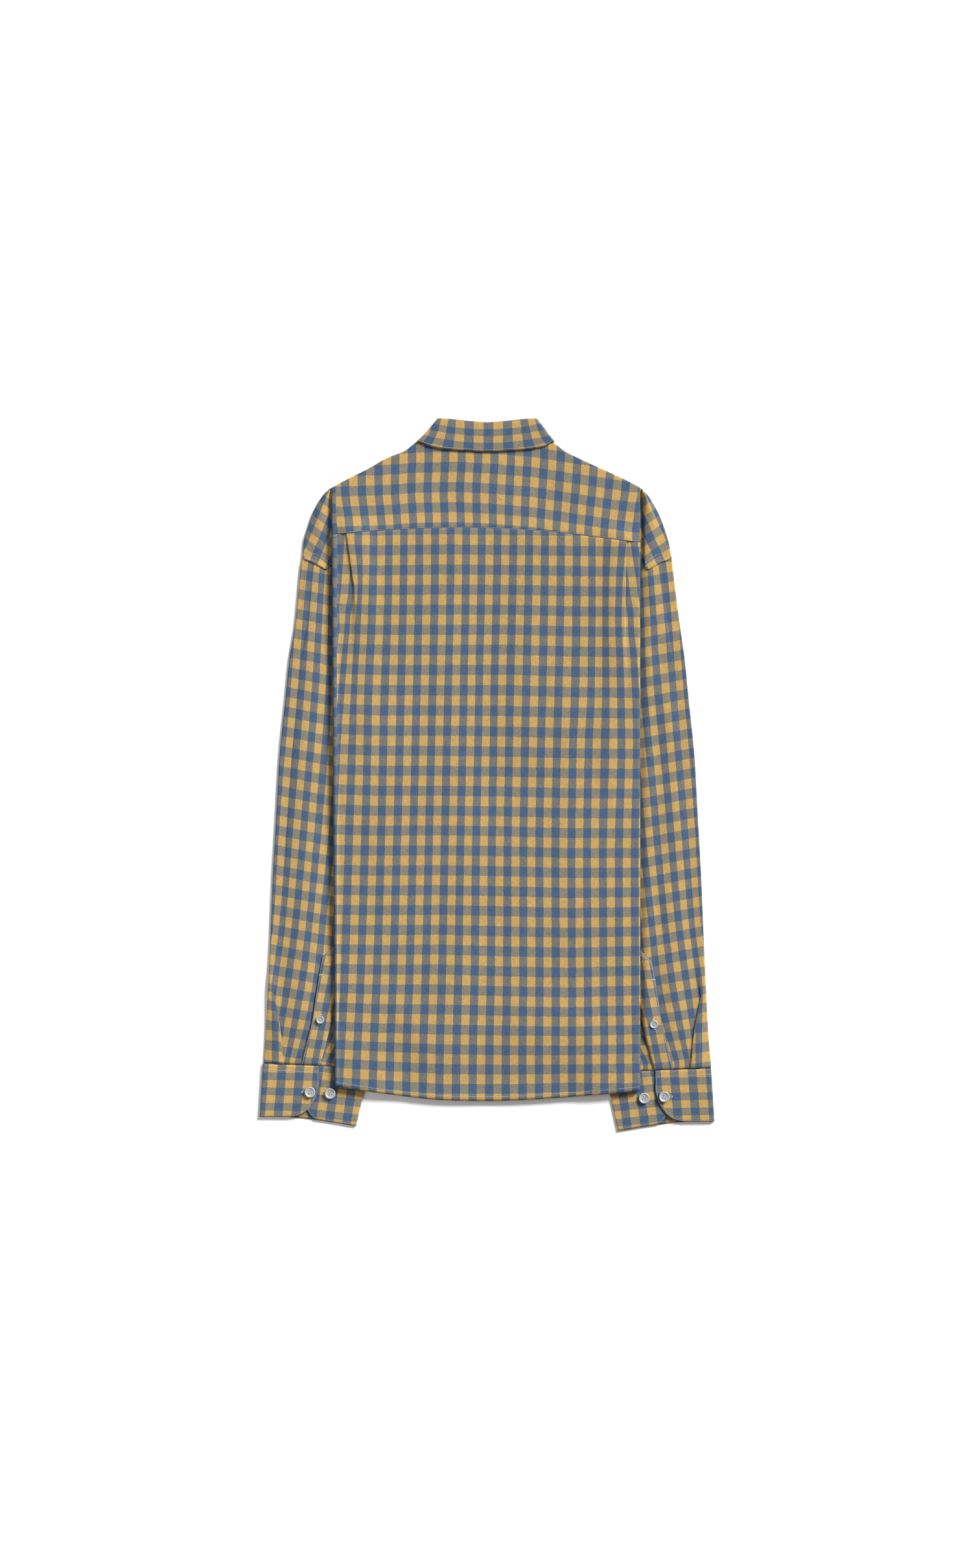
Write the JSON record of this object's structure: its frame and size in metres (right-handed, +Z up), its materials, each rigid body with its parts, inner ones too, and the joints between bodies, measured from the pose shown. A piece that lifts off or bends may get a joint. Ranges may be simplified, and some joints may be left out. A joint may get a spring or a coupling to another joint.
{
  "type": "linen shirt",
  "caption": "Long-sleeved gingham shirt laid flat with its back up: sides folded under, sleeves straight down beside the body, cuffs under the hem.",
  "frame": {"origin": "on the floor under the middle of the shirt as it lies", "axes": "+Z up through the flat shirt, +Y towards the collar, +X towards the right in the picture"},
  "size_m": [0.52, 0.8139, 0.0119],
  "materials": {
    "gingham": "matte woven linen, blue and ochre gingham",
    "button": "satin, pale grey"
  },
  "bodies": {
    "root": {"back": "gingham", "yoke": "gingham", "shoulder_end_left": "gingham", "shoulder_end_right": "gingham", "front_left": "gingham", "front_right": "gingham", "sleeve_left": "gingham", "sleeve_right": "gingham", "sleeve_placket_left": "gingham", "sleeve_placket_right": "gingham", "cuff_left": "gingham", "cuff_right": "gingham", "collar_leaf": "gingham", "collar_stand": "gingham", "cuff_button_fastened_left": "button", "cuff_button_fastened_right": "button", "cuff_button_spare_left": "button", "cuff_button_spare_right": "button", "placket_button_left": "button", "placket_button_right": "button", "collar_button": "button", "front_button_1": "button", "front_button_2": "button", "front_button_3": "button", "front_button_4": "button", "front_button_5": "button", "front_button_6": "button"}
  },
  "joints": []
}
